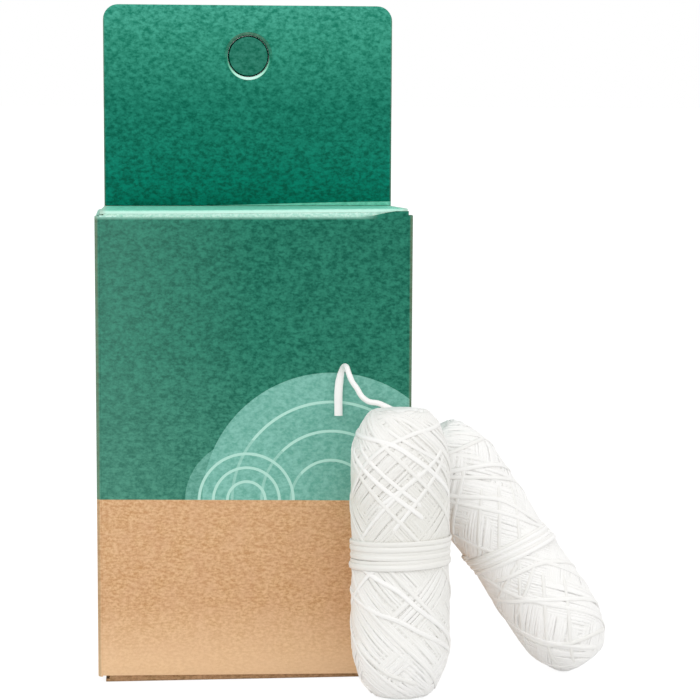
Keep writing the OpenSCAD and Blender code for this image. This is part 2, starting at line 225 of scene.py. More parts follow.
def sweep_strands(name, strands, sides):
    """One mesh of swept strands. A strand is a list of points, each with its place and outward
    direction, and half its width in metres, its flatness and its tone."""
    lines = bpy.data.meshes.new(name)
    points = [point for strand in strands for point in strand]
    edges = []
    first = 0
    for strand in strands:
        edges += [(i, i + 1) for i in range(first, first + len(strand) - 1)]
        first += len(strand)
    lines.from_pydata([point[0] for point in points], edges, [])
    outwards = lines.attributes.new("outward", "FLOAT_VECTOR", "POINT")
    outwards.data.foreach_set("vector", [part for point in points for part in point[1]])
    for index, attribute in ((2, "half_width"), (3, "flatness"), (4, "strand_tone")):
        values = lines.attributes.new(attribute, "FLOAT", "POINT")
        values.data.foreach_set("value", [point[index] for point in points])
    piece = add_object(name, lines)
    modifier = piece.modifiers.new("sweep", "NODES")
    modifier.node_group = strand_sweep
    values = {"Sides": sides, "Floss": silk}
    for socket in strand_sweep.interface.items_tree:
        if socket.in_out == "INPUT" and socket.name in values:
            modifier[socket.identifier] = values[socket.name]
    depsgraph = bpy.context.evaluated_depsgraph_get()
    swept = bpy.data.meshes.new_from_object(piece.evaluated_get(depsgraph))
    piece.modifiers.clear()
    piece.data = swept
    for attribute in ("spine", "along", "around", "outward", "half_width", "flatness"):
        if attribute in swept.attributes:
            swept.attributes.remove(swept.attributes[attribute])
    return piece


def through(places, steps):
    """Points on one smooth curve through the places, with so many steps between each two."""
    curve = []
    last = len(places) - 1
    for i in range(last):
        p0, p1, p2, p3 = (Vector(places[min(max(i + k, 0), last)]) for k in (-1, 0, 1, 2))
        for step in range(steps):
            t = step / steps
            curve.append(0.5 * (2 * p1 + (p2 - p0) * t + (2 * p0 - 5 * p1 + 4 * p2 - p3) * t ** 2
                + (3 * p1 - p0 - 3 * p2 + p3) * t ** 3))
    return curve + [Vector(places[last])]


def ease(x):
    """Runs smoothly from 0 to 1 while x does."""
    x = min(1, max(0, x))
    return x * x * (3 - 2 * x)


loose_route = [(25.35, -22.13, 46.41), (26.57, -21.28, 46.73), (27.15, -19.92, 47.13), (27, -18.46, 47.46),
    (26.13, -17.24, 47.62), (24.74, -16.64, 47.65), (23.23, -16.74, 47.89), (21.93, -17.16, 48.54),
    (20.53, -17.27, 49.14), (19.02, -17.22, 49.39), (17.8, -17.14, 50.29), (17.02, -17.11, 51.59),
    (16.15, -17.11, 52.85), (15.59, -16.71, 54.2), (15.33, -15.55, 55.1), (15.03, -14.06, 54.99),
    (14.7, -13.03, 53.97), (14.42, -12.76, 52.49), (14.26, -12.78, 50.99), (14.21, -12.79, 49.46),
    (14.23, -12.79, 47.92), (14.25, -12.79, 46.4)]
loose_width = 0.95 * mm
pressed_width = 1.45 * mm
loose_steps = 4
loose_points = through(loose_route, loose_steps)
loose_strand = []
for i, point in enumerate(loose_points):
    pressing = ease((i / loose_steps - 14.5) / 3.5)
    thick = loose_width + (pressed_width - loose_width) * pressing
    thick *= 1 + 0.07 * noise.noise(Vector((i * 0.37, 4.1, 0)))
    loose_strand.append((point * mm, Vector((0, -1, 0)), thick / 2, 1 - 0.42 * pressing, 0.9))
loose_end = sweep_strands("loose_end_strand", [loose_strand], 12)
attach(loose_end, "front_bundle")
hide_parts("loose_end")

# The two wound bundles. Waxed silk floss, cross-wound on itself into a long rounded barrel, with
# its last turns tied round the waist. Each is a packed core, a bed of flat strands wound to and
# fro at a slant, and the last strands that lie proud of the bed.
front_radius = 6.44
side_radius = 5.74
core_half = 24.5
waist_dip = 0.9
# How far strands and surfaces lie off the core, in mm: the last cycles' two layers, the packed
# body, the bed on it, and the level that the proud strands rise from.
skin = 0.5
layer_step = 1.36
outer_skin = skin + layer_step
body_lift = 1.82
bed_lift = 1.84
proud_from = 1.55
# How often a strand goes round its bundle while it runs up and down it once.
turns_per_cycle = 2.2


def barrel(z, radius):
    """The core's radius at a height along its axis: a rounded barrel with a drawn-in waist."""
    full = max(0, 1 - min(1, abs(z / core_half)) ** 3.6) ** (1 / 2.2)
    return radius * full - waist_dip * math.exp(-(z / 4) ** 2)


def fullness(z, angle, radius):
    """How far the floss is packed out beyond the barrel: at the waist, where the turns draw it in,
    and at the shoulders, most on the outer side of the leaning bundle's upper end."""
    packed = 0.6 * math.exp(-(z / 3.4) ** 2) + 0.55 * math.exp(-((abs(z) - 17) / 4.5) ** 2)
    if radius == side_radius:
        packed += 1.1 * max(0, math.cos(angle - math.radians(20))) * math.exp(-((z - 16.5) / 5.5) ** 2)
    return packed


def on_core(z, angle, lift, radius):
    """The place at a height and an angle, lifted off the core, and the outward direction there."""
    slope = (barrel(z - 0.05, radius) - barrel(z + 0.05, radius)) / 0.1
    side = Vector((1, 0, slope)).normalized()
    lift += fullness(z, angle, radius) * min(1, max(0, (24 - abs(z)) / 3))
    out = barrel(z, radius) + lift * side.x
    place = Vector((out * math.cos(angle), out * math.sin(angle), z + lift * side.z))
    return place, Vector((side.x * math.cos(angle), side.x * math.sin(angle), side.z))


def painted_shading(z, radius):
    """Painted light and shade in the floss's tone at a height: the front bundle is painted a little
    darker above its waist, as painted shade, and paler at its lower tip, as painted light, and the side
    bundle, which stands in the front one's shade, is painted paler all over."""
    if radius == side_radius:
        return 0.22
    return 0.2 * ease((-z - 12) / 8) - 0.27 * math.exp(-((z - 6) / 9) ** 2)


def wave(u):
    """The to-and-fro along the axis, from -1 to 1, in one cycle of u."""
    return -math.asin(0.9 * math.cos(2 * math.pi * u)) / math.asin(0.9)


def layer(u):
    """0 on the way up, which lies inside, and 1 on the way down, which lies outside."""
    p = u - math.floor(u)
    quick = 0.024
    if p < 0.25:
        return 1 - ease((p + quick) / (2 * quick))
    if p < 0.75:
        return ease((p - 0.5 + quick) / (2 * quick))
    return 1 - ease((p - 1 + quick) / (2 * quick))


def settled(z, lift, spare, radius):
    """A lift that sinks where the strands crowd round a tip, so that they keep within the tip."""
    slope = (barrel(abs(z) - 0.05, radius) - barrel(abs(z) + 0.05, radius)) / 0.1
    rise = max(0.3, Vector((1, slope)).normalized().y)
    limit = (core_half - spare - abs(z)) / rise
    gap = (limit - lift) / 0.5
    return limit - 0.5 * (gap if gap > 20 else math.log1p(math.exp(gap)))


def bed_of(radius, seed):
    """The bed: one flat strand wound to and fro, each five cycles beside the five before. In one
    patch the strands on the way up lie on top, in the next the strands on the way down."""
    cycles = 84
    turns = turns_per_cycle + 1 / 410
    per_cycle = 100
    strand = []
    for i in range(cycles * per_cycle + 1):
        u = i / per_cycle
        drift = noise.noise(Vector((u * 0.9, seed, 0)))
        reach = 0.915 + 0.07 * noise.noise(Vector((u * 2.1, seed, 7)))
        z = core_half * reach * wave(u)
        angle = 2 * math.pi * turns * u + 0.03 * drift + 0.015 * noise.noise(Vector((u * 7, seed, 3)))
        patch = noise.noise(Vector((math.cos(angle), math.sin(angle), z / 8)) * 1.3 + Vector((0, seed, 0)))
        over = max(-1, min(1, 3.5 * patch)) * (2 * layer(u) - 1)
        lift = settled(z, bed_lift + 0.08 * over + 0.03 * drift, 0.35, radius)
        place, out = on_core(z, angle, lift, radius)
        wide = 0.32 + 0.05 * noise.noise(Vector((u * 5, seed, 11)))
        # Painted shade and light: strands lying under others are painted darker and those on top paler,
        # besides their random tone.
        tone = 0.47 + 0.12 * drift + 0.07 * over + painted_shading(z, radius)
        strand.append((place, out, wide, 0.36, tone))
    return strand


def last_cycles_of(radius):
    """The last five cycles of the winding, which lie a little proud of the bed."""
    strand = []
    first, last = 0.62, 5.56
    steps = 560
    ends = 6
    for i in range(-ends, steps + ends + 1):
        u = first + (last - first) * min(steps, max(0, i)) / steps
        past = i if i < 0 else max(0, i - steps)
        dive = abs(past) / ends
        lift = skin + (layer_step + 0.16) * layer(u) - (outer_skin + 0.3) * ease(dive)
        angle = 2 * math.pi * turns_per_cycle * (u + past * 0.0022)
        place, out = on_core(0.9 * core_half * wave(u + 0.004 * dive), angle, lift, radius)
        tone = 0.52 + 0.7 * painted_shading(place.z, radius)
        strand.append((place, out, 0.4 * (1 - 0.1 * dive), 0.4, tone))
    return strand


def wrap_of(radius, start, turns, middle, pitch, lift, wide, tone, tilt):
    """Turns round the waist from a start angle, about a middle height. A tilt is how far the
    turns slant, and towards which angle."""
    strand = []
    per_turn = 56
    ends = 5
    steps = int(per_turn * turns)
    for i in range(-ends, steps + ends + 1):
        v = turns * min(steps, max(0, i)) / steps
        past = i if i < 0 else max(0, i - steps)
        angle = start + 2 * math.pi * (v + past / per_turn)
        z = middle + pitch * (v - turns / 2) + tilt[0] * math.cos(angle - math.radians(tilt[1]))
        place = Vector((math.cos(angle), math.sin(angle), 0))
        out = barrel(z, radius) + lift - 1.6 * ease(abs(past) / ends)
        sway = 0.18 * noise.noise(Vector((v * 2.3, middle, start)))
        breadth = wide * (1 + 0.3 * noise.noise(Vector((v * 1.7, middle, 5))))
        strand.append((place * out + Vector((0, 0, z + sway)), place, breadth, 0.42, tone))
    return strand


def last_strand_of(radius, route, wide, run_on, proud):
    """A strand proud of the bed through heights and angles, which runs on and sinks in behind."""
    places = [Vector((z, math.radians(angle), 0)) for z, angle in route]
    before = places[0] - places[1]
    after = places[-1] - places[-2]
    before *= run_on / max(0.12, abs(before.y))
    after *= run_on / max(0.12, abs(after.y))
    tail = [places[0] + before * k / 4 for k in (4, 3, 2, 1)]
    head = [places[-1] + after * k / 4 for k in (1, 2, 3, 4)]
    curve = through(tail + places + head, 9)
    strand = []
    for i, point in enumerate(curve):
        share = i / (len(curve) - 1)
        sunk = ease(share / 0.22) * ease((1 - share) / 0.22)
        z = max(-23.6, min(23.6, point.x))
        lift = settled(z, proud_from + (0.41 + 0.08 * proud) * sunk, 0.15, radius)
        place, out = on_core(z, point.y, lift, radius)
        # A prouder strand is painted paler: a painted highlight on the raised strands.
        strand.append((place, out, wide, 0.4, 0.4 + 0.28 * proud))
    return strand


def packed_core(name, radius, turned, middle):
    """The floss inside, packed so tight that only a smooth body shows between the strands."""
    work = bmesh.new()
    spare = 0.1
    rows, sides = 24, 72
    rings = []
    for row in range(1 - rows, rows):
        z = (core_half - spare) * math.sin(math.pi / 2 * row / rows)
        lift = settled(z, body_lift, spare, radius)
        rings.append([work.verts.new(on_core(z, 2 * math.pi * k / sides, lift, radius)[0])
            for k in range(sides)])
    for low, high in zip(rings, rings[1:]):
        for k in range(sides):
            work.faces.new((low[k], low[(k + 1) % sides], high[(k + 1) % sides], high[k]))
    for ring, way in ((rings[0], -1), (rings[-1], 1)):
        pole = work.verts.new((0, 0, way * (core_half - spare)))
        for k in range(sides):
            pair = (ring[k], ring[(k + 1) % sides])
            work.faces.new((pole,) + (pair if way > 0 else pair[::-1]))
    mesh = bpy.data.meshes.new(name)
    work.to_mesh(mesh)
    work.free()
    grain = mesh.attributes.new("strand_place", "FLOAT_VECTOR", "POINT")
    grain.data.foreach_set("vector", [part for v in mesh.vertices
        for part in (v.co.x * 1.4, v.co.y * 1.4, v.co.z * 0.8)])
    values = mesh.attributes.new("strand_tone", "FLOAT", "POINT")
    values.data.foreach_set("value", [0.38 + 0.35 * ease((abs(v.co.z) - 18) / 5)
        + painted_shading(v.co.z, radius) for v in mesh.vertices])
    mesh.transform(Matrix.Diagonal((mm, mm, mm, 1)))
    mesh.transform(Matrix.Translation(middle * mm) @ turned.to_4x4())
    mesh.shade_smooth()
    mesh.materials.append(silk)
    return add_object(name, mesh)


def place_strands(strands, turned, middle):
    """Strands wound about the axis, turned and moved to where their bundle stands."""
    return [[((turned @ place + middle) * mm, turned @ out, wide * mm, flat, tone)
        for place, out, wide, flat, tone in strand] for strand in strands]


# Each proud strand's heights and angles along its bundle, half its width, how far round it runs
# on at its ends, and how proud it is; a prouder strand is also painted paler, a painted highlight.
front_strands = [
    ([(19.5, 173), (18.3, 247), (15.8, 282), (12.7, 313)], 0.46, 0.8, 1.0),
    ([(18.6, 269), (15.9, 306)], 0.36, 0.6, 0.5),
    ([(20.7, 338), (19.8, 287), (18.4, 256), (17.5, 243), (15.3, 223), (12.3, 204)], 0.4, 0.6, 0.6),
    ([(14.6, 213), (9.3, 264)], 0.42, 0.6, 0.9),
    ([(14.9, 231), (11.4, 262)], 0.38, 0.6, 0.7),
    ([(11.0, 264), (14.8, 300)], 0.38, 0.6, 0.6),
    ([(8.9, 281), (12.1, 300)], 0.36, 0.6, 0.5),
    ([(10.4, 262), (6.7, 236)], 0.36, 0.6, 0.5),
    ([(-0.4, 262), (-2.8, 230), (-6.3, 201)], 0.42, 0.5, 1.0),
    ([(-3.7, 231), (-5.8, 262), (-8.8, 287), (-13.1, 331)], 0.44, 0.6, 1.0),
    ([(-7.0, 193), (-9.2, 235), (-10.4, 262), (-12.4, 288), (-15.0, 328)], 0.44, 0.6, 0.9),
    ([(-16.9, 227), (-18.7, 246), (-19.5, 264)], 0.4, 0.6, 0.3),
]
side_strands = [
    ([(-3.8, 74), (-4.2, 99), (-5.2, 127), (-9.0, 178)], 0.42, 0.6, 0.8),
    ([(-6.9, 46), (-9.3, 87), (-15.2, 158)], 0.44, 0.6, 1.0),
    ([(-13.1, 36), (-16.7, 64), (-18.7, 98), (-20.2, 149)], 0.4, 0.6, 0.4),
    ([(19.4, 107), (18.5, 145)], 0.4, 0.6, 0.5),
    ([(17.0, 91), (14.4, 137), (12.2, 167)], 0.44, 0.6, 1.0),
    ([(15.2, 98), (11.4, 142)], 0.38, 0.6, 0.7),
    ([(12.8, 82), (9.0, 119), (5.0, 141)], 0.42, 0.6, 1.0),
    ([(8.9, 91), (4.2, 62)], 0.32, 0.5, 0.4),
    ([(7.0, 112), (2.4, 86)], 0.32, 0.5, 0.4),
    ([(5.2, 133), (0.5, 110)], 0.32, 0.5, 0.4),
    ([(-4.0, 73), (-6.4, 35)], 0.34, 0.5, 0.6),
    ([(-5.0, 105), (-8.1, 72)], 0.34, 0.5, 0.6),
    ([(-8.5, 66), (-12.9, 43)], 0.32, 0.5, 0.4),
    ([(-10.6, 94), (-16.3, 68)], 0.32, 0.5, 0.4),
    ([(-12.9, 119), (-17.6, 97)], 0.32, 0.5, 0.4),
    ([(13.6, 83), (8.9, 44)], 0.4, 0.6, 0.7),
]
# The waist's turns: how far each strand lies from its turn's middle, half its width, its lift and
# its tone. The inner ones fill in under the outer ones. The side bundle's turns are painted paler,
# as painted light like the rest of that bundle.
front_turns = [(-0.36, 0.5, 2.76, 0.36), (0.4, 0.42, 2.7, 0.3), (0, 0.7, 2.5, 0.3)]
side_turns = [(-0.25, 0.36, 2.7, 0.75), (0.25, 0.32, 2.62, 0.55), (0, 0.5, 2.4, 0.5)]
wrap_turns = 3
wrap_start = math.radians(18)
# Where each bundle's middle is, and how it leans.
front_middle = Vector((24, -21.8513, 24.4068))
side_middle = Vector((44.7062, -7.6, 22.185))
front_turned = Matrix.Rotation(math.radians(-5), 3, "X")
side_lean, side_back = math.radians(34), math.radians(5)
side_axis = Vector((-math.sin(side_lean), math.tan(side_back), math.cos(side_lean)))
side_axis.normalize()
side_turned = (Matrix.Rotation(math.atan2(side_axis.y, side_axis.x), 3, "Z")
    @ Matrix.Rotation(math.acos(side_axis.z), 3, "Y"))
for bundle, radius, middle, turned, proud, waist, pitch, tilt, seed in (
        ("front_bundle", front_radius, front_middle, front_turned, front_strands, front_turns,
            1.5, (0, 0), 3.3),
        ("side_bundle", side_radius, side_middle, side_turned, side_strands, side_turns,
            1.0, (1.5, 30), 8.6)):
    core = packed_core(bundle + "_packed_core", radius, turned, middle)
    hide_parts(bundle + "_core")
    bed = sweep_strands(bundle + "_bed", place_strands([bed_of(radius, seed)], turned, middle), 6)
    strands = [last_cycles_of(radius)]
    strands += [last_strand_of(radius, *strand) for strand in proud]
    winding = sweep_strands(bundle + "_last_strands", place_strands(strands, turned, middle), 8)
    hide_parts(bundle + "_winding")
    turns = [wrap_of(radius, wrap_start, wrap_turns, aside - 0.2 * tilt[0], pitch, lift, wide, tone, tilt)
        for aside, wide, lift, tone in waist]
    wrap = sweep_strands(bundle + "_waist_wrap", place_strands(turns, turned, middle), 8)
    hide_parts(bundle + "_wrap")
    for piece in (core, bed, winding, wrap):
        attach(piece, bundle)

# The carton's sleeve. One blank of brown recycled board, printed on its outer face in green ink
# down to a border, below which the bare board shows. Its four upright folds are creased,
# and the glue flap holds it closed inside the left rear fold.


def board_fibres(tree):
    """The fibres of a board, short and mostly level, with a fine grain. Gives the coordinates and
    the fibres' height."""
    here = add_node(tree, "ShaderNodeTexCoord").outputs["Object"]
    level = add_node(tree, "ShaderNodeMapping", {"Vector": here, "Scale": (1400, 1400, 2700)})
    fibres = add_noise(tree, level.outputs[0], 1.0, 3.0)
    grain = add_noise(tree, here, 3600.0, 1.0)
    return here, calculate(tree, "MULTIPLY_ADD", grain, 0.45, fibres)


def kraft_paper(tree, pale, deep, warmth=0.3):
    """Brown board, mottled by its fibres, with slow clouds of a warmer colour. Gives the
    coordinates, the colour and the fibres' height."""
    here, height = board_fibres(tree)
    colour = mix_colours(tree, map_range(tree, height, 0.55, 0.9), linear(deep), linear(pale))
    clouds = add_noise(tree, here, 260.0, 2.0)
    warm = map_range(tree, clouds, 0.35, 0.65, 0, warmth)
    return here, mix_colours(tree, warm, colour, linear("#DDAF8C")), height


def from_to(tree, value, start, end, share=1.0):
    """A share that grows from nothing at one distance, in mm, to its full size at another."""
    return map_range(tree, value, start * mm, end * mm, 0, share)


def distance_from(tree, place, point):
    """How far a place is from a point that is given in mm."""
    return add_node(tree, "ShaderNodeVectorMath", {0: place, 1: [part * mm for part in point]},
        operation="DISTANCE").outputs["Value"]


def ink_on(tree, here, fibre_height, deep, pale):
    """Green ink that the fibres take up unevenly: mottled, in short level dashes."""
    level = add_node(tree, "ShaderNodeMapping", {"Vector": here, "Scale": (1050, 1050, 1450)})
    dashes = add_noise(tree, level.outputs[0], 1.0, 4.0, 0.68)
    uptake = calculate(tree, "MULTIPLY_ADD", fibre_height, 0.35, dashes)
    return mix_colours(tree, map_range(tree, uptake, 0.6, 0.9), deep, pale)


def up_the_board(tree, here, stops):
    """A colour that changes with height, from (height in mm, colour) stops."""
    place = add_node(tree, "ShaderNodeSeparateXYZ", {0: here})
    low, high = stops[0][0], stops[-1][0]
    ramp = add_node(tree, "ShaderNodeValToRGB", {0: from_to(tree, place.outputs[2], low, high)})
    for k, (height, colour) in enumerate(stops):
        share_at = (height - low) / (high - low)
        stop = ramp.color_ramp.elements[k] if k < 2 else ramp.color_ramp.elements.new(share_at)
        stop.position = share_at
        stop.color = linear(colour)
    return ramp.outputs[0]


def finish_board(tree, shader, colour, height, roughness, relief):
    """Links a board's colour and its fibres' relief to its shader."""
    bump = add_node(tree, "ShaderNodeBump", {"Height": height, "Strength": relief, "Distance": 0.04 * mm})
    tree.links.new(colour, shader.inputs["Base Color"])
    tree.links.new(bump.outputs[0], shader.inputs["Normal"])
    shader.inputs["Roughness"].default_value = roughness
    shader.inputs["IOR"].default_value = 1.45
    shader.inputs["Specular IOR Level"].default_value = 0.07


def worn_edges(tree, here, colour, start, end, share, shade):
    """Mixes a rubbed colour in from one distance to another, in mm, either side of the middle."""
    place = add_node(tree, "ShaderNodeSeparateXYZ", {0: here})
    aside = calculate(tree, "ABSOLUTE", place.outputs[0])
    return mix_colours(tree, from_to(tree, aside, start, end, share), colour, linear(shade))


def plain_board(name, pale, deep, roughness, relief, warmth=0.3):
    """A board of bare paper, or of an ink that hides it, in one mottled colour."""
    material, tree, shader = new_material(name)
    _, paper, fibre_height = kraft_paper(tree, pale, deep, warmth)
    finish_board(tree, shader, paper, fibre_height, roughness, relief)
    return material


# Bare recycled board, uncoated: the inner face of every panel and flap.
bare_board = plain_board("bare_recycled_board", "#D9B389", "#B98F63", 0.85, 0.5)

# The cut edge: the board's grey-brown core, crushed by the cutting rule.
cut_edge = plain_board("cut_board_edge", "#A89C82", "#7C705A", 0.9, 0.6)

# The ink of a crease or edge where the board has been bent or rubbed: cracked, so the pale filler
# of the paper's face shows through as a mint white, which is also a painted highlight where these
# edges catch the light from above.
cracked_ink_and_highlight = plain_board("cracked_and_highlit_edge", "#D3F6E9", "#A3DCCA", 0.6, 0.5, 0)

# Printed board of the sleeve: uncoated board under one flat green ink, matt, down to a border that
# falls a little to the right. It is rubbed at the folds, and along its top edge it is rubbed pale,
# partly as a painted highlight. The green is a little deeper towards the top and is painted paler
# towards the left, as painted light; the bare board below the border is painted paler towards its
# foot, also painted light. The front's lower right holds two plain arches in a paler green, with
# thin rings. Sizes are in mm, and an arch is its middle's x, its radius and how strongly it shows.
sleeve_width = 54
border_left, border_right = 32.15, 31.3
front_y, front_skin = -12, 0.1
arch_foot = 31.7
arches = ((13, 22, 0.9), (-1.5, 10.5, 0.55))
arch_rings = (0.77, 0.54, 0.31)
ring_line = 0.24
sleeve_print_and_light, tree, shader = new_material("sleeve_print_with_painted_light")
here, paper, fibre_height = kraft_paper(tree, "#E6BE92", "#C79566")
x, y, z = add_node(tree, "ShaderNodeSeparateXYZ", {0: here}).outputs
# Painted light: the bare board is painted paler towards its foot and palest along its lower edge.
paper = mix_colours(tree, from_to(tree, z, 14, 1, 0.75), paper, linear("#F8D4AA"))
deep_ink = up_the_board(tree, here, [(32, "#226B58"), (58, "#155E4C"), (80, "#125C4A")])
pale_ink = up_the_board(tree, here, [(32, "#4A927C"), (58, "#33866F"), (80, "#2F836C")])
green = ink_on(tree, here, fibre_height, deep_ink, pale_ink)
# Painted light: the green is painted paler towards the left, where the light falls more strongly.
green = mix_colours(tree, from_to(tree, x, 0, -24, 0.14), green, linear("#86BDAB"))
light = ink_on(tree, here, fibre_height, linear("#6CAF9E"), linear("#8CC8BA"))
slope = (border_right - border_left) / sleeve_width
level = calculate(tree, "MULTIPLY_ADD", x, -slope, z)
above = calculate(tree, "GREATER_THAN", level, (border_left + border_right) / 2 * mm)
on_front = calculate(tree, "LESS_THAN", y, (front_y + front_skin) * mm)
for centre_x, radius, strength in arches:
    distance = distance_from(tree, here, (centre_x, front_y, arch_foot))
    inside = calculate(tree, "LESS_THAN", distance, radius * mm)
    inside = calculate(tree, "MULTIPLY", inside, on_front)
    green = mix_colours(tree, calculate(tree, "MULTIPLY", inside, strength), green, light)
    for ring in arch_rings:
        off_ring = calculate(tree, "SUBTRACT", distance, radius * ring * mm)
        off_ring = calculate(tree, "ABSOLUTE", off_ring)
        line = calculate(tree, "LESS_THAN", off_ring, ring_line * mm)
        line = calculate(tree, "MULTIPLY", line, on_front)
        green = mix_colours(tree, line, green, linear("#B5E3D5"))
printed = mix_colours(tree, above, paper, green)
# Painted highlight, partly rubbed ink: a pale line along the front's top edge, left of where it rises.
top_edge = from_to(tree, z, 79.85, 80.35, 0.75)
rubbed_and_highlit = calculate(tree, "MULTIPLY", top_edge, from_to(tree, x, 21, 18))
printed = mix_colours(tree, rubbed_and_highlit, printed, linear("#A9DCCB"))
at_folds = from_to(tree, calculate(tree, "ABSOLUTE", y), 11.3, 11.7)
worn = worn_edges(tree, here, printed, 26.35, 26.7, 0.45, "#8B8468")
printed = mix_colours(tree, at_folds, printed, worn)
finish_board(tree, shader, printed, fibre_height, 0.62, 0.45)

# In mm: the size of the squares that a board is cut into, how far its edges are crushed round, how
# far to each side the lid reaches, and how far out the sleeve's front and rear seams lie.
square = 3
rounding = 0.05
lid_half = 25.7
seam_y = 11.56


def object_of(work, name, materials):
    """An object made from a finished mesh in work, with its materials."""
    mesh = bpy.data.meshes.new(name)
    work.to_mesh(mesh)
    work.free()
    for material in materials:
        mesh.materials.append(material)
    return add_object(name, mesh)


def dress_board(node, name, outsides, insides, outer, warp=None, pale_edge=None):
    """A board of the blank: the frame's solid cut into small squares, each face dressed by where
    it looks, bent a little where a warp is given, with its sharp edges crushed round. A printed
    sleeve's front and rear faces and their seams are printed whatever way they look. Where a
    height and an end are given for the pale edge, the printed faces above the one and left of the
    other take the mint white of cracked ink with a painted highlight."""
    work = bmesh.new()
    work.from_mesh(frame["nodes"][node].data)
    bmesh.ops.remove_doubles(work, verts=work.verts, dist=0.001 * mm)
    bmesh.ops.dissolve_limit(work, angle_limit=math.radians(1), verts=work.verts, edges=work.edges)

    def cut(at, direction):
        """Cuts the board's faces along a plane."""
        bmesh.ops.bisect_plane(work, geom=work.verts[:] + work.edges[:] + work.faces[:],
            plane_co=at, plane_no=direction, dist=0.0001 * mm)

    low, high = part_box(node)
    for axis in range(3):
        steps = int((high[axis] - low[axis]) / (square * mm))
        direction = Vector([1 if k == axis else 0 for k in range(3)])
        for step in range(1, steps + 1):
            cut(Vector(low) + direction * (high[axis] - low[axis]) * step / (steps + 1), direction)
    if pale_edge:
        cut((0, 0, pale_edge[0] * mm), (0, 0, 1))
    for end in (-lid_half, lid_half) if warp else ():
        cut((end * mm, 0, 0), (1, 0, 0))
    work.normal_update()
    for face in work.faces:
        middle = face.calc_center_median() / mm
        at_seam = outer is sleeve_print_and_light and abs(middle.y) > seam_y
        if at_seam or max(face.normal.dot(Vector(way)) for way in outsides) > 0.6:
            face.material_index = 0
            if pale_edge and middle.z > pale_edge[0] and middle.x < pale_edge[1]:
                face.material_index = 3
        elif max(face.normal.dot(Vector(way)) for way in insides) > 0.6:
            face.material_index = 1
        else:
            face.material_index = 2
        face.smooth = True
    if warp:
        for vertex in work.verts:
            vertex.co += Vector(warp(*(vertex.co / mm))) * mm
    piece = object_of(work, name, (outer, bare_board, cut_edge, cracked_ink_and_highlight))
    bevel = piece.modifiers.new("crushed_edges", "BEVEL")
    bevel.width = rounding * mm
    bevel.segments = 2
    bevel.limit_method = "ANGLE"
    bevel.angle_limit = math.radians(40)
    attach(piece, frame["nodes"][node]["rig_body"])
    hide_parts(node)
    return piece


def front_warp(x, y, z):
    """The front panel's lower edge slants up to the left, and its top rises at the right end."""
    lift = 0
    if z < 1.5:
        lift += 0.15 - 0.3 * x / 27
    if z > 79:
        lift += 0.6 + 0.7 * ease((x - 19) / 3)
    return 0, 0.06 * math.sin(z / 13) * math.cos(x / 17), lift


def side_warp(x, y, z):
    """The side panels' tops rise with the front panel's, towards the front."""
    return 0, 0, (0.6 if x < 0 else 0.7) * ease((z - 77) / 2.8) * ease((-y - 4) / 6)


def back_warp(x, y, z):
    """The back panel's top corners slope down beside the narrower tab."""
    return 0, 0, -1.1 * ease((abs(x) - 25.75) / 0.6) * ease((z - 76) / 3)


# The front panel's top edge takes the mint white of cracked ink with a painted highlight.
for node, outsides, insides, warp, pale_edge in (
        ("front_panel", [(0, -1, 0), (1, 0, 0), (-1, 0, 0)], [(0, 1, 0)], front_warp, (79.75, 20)),
        ("back_panel", [(0, 1, 0)], [(0, -1, 0)], back_warp, None),
        ("left_side_panel", [(-1, 0, 0), (-0.7, -0.7, 0), (-0.7, 0.7, 0), (0, -1, 0), (0, 1, 0),
            (0, 0, 1)], [(1, 0, 0)], side_warp, None),
        ("right_side_panel", [(1, 0, 0), (0.7, -0.7, 0), (0.7, 0.7, 0), (0, -1, 0), (0, 1, 0),
            (0, 0, 1)], [(-1, 0, 0)], side_warp, None),
        ("glue_flap", [(1, 0, 0)], [(-1, 0, 0)], None, None)):
    board = dress_board(node, node + "_board", outsides, insides,
        bare_board if node == "glue_flap" else sleeve_print_and_light, warp, pale_edge)

# The hang tab. The blank's rear panel runs on above the lid, is folded over at the top and glued
# to itself, so it is two boards thick and green on both faces. A knock-out disc sits in its hole.

# The tab's printed board: matt green ink, worn at both upright edges, and painted deep low down
# and paler towards the top as painted light from above. Its foot is painted in the lid's lit mint,
# up to a line that climbs to the right: painted light that stands in for the lid's top seen there.
tab_print_and_light, tree, shader = new_material("tab_print_with_painted_light")
here, fibre_height = board_fibres(tree)
# Painted light: the ink is painted deep low down and paler towards the top.
deep_ink = up_the_board(tree, here, [(81, "#005744"), (86, "#005A47"), (99, "#04634F"),
    (110, "#15745D"), (117, "#1E7F68")])
pale_ink = up_the_board(tree, here, [(81, "#00806A"), (86, "#04846E"), (99, "#248771"),
    (110, "#3F9F87"), (117, "#50AF98")])
green = ink_on(tree, here, fibre_height, deep_ink, pale_ink)
x, y, z = add_node(tree, "ShaderNodeSeparateXYZ", {0: here}).outputs
# Painted light: the lid's lit mint, painted on the tab's foot in front, up to a line that climbs to the
# right.
foot_line = map_range(tree, x, -20 * mm, 30 * mm, 80.9 * mm, 81.8 * mm,
    interpolation_type="SMOOTHSTEP")
in_foot = calculate(tree, "LESS_THAN", z, foot_line)
facing = calculate(tree, "LESS_THAN", y, 11.2 * mm)
mint = ink_on(tree, here, fibre_height, linear("#67C8AD"), linear("#8CE2CA"))
green = mix_colours(tree, calculate(tree, "MULTIPLY", in_foot, facing), green, mint)
green = worn_edges(tree, here, green, 25.4, 25.65, 0.55, "#6B7F68")
finish_board(tree, shader, green, fibre_height, 0.6, 0.45)
for node, outsides, insides in (
        ("hang_tab_front", [(0, -1, 0), (0, -0.7, 0.7), (0, 0, 1), (0, 0.7, 0.7)], [(0, 1, 0)]),
        ("hang_tab_rear", [(0, 1, 0)], [(0, -1, 0)])):
    board = dress_board(node, node + "_layer", outsides, insides, tab_print_and_light)

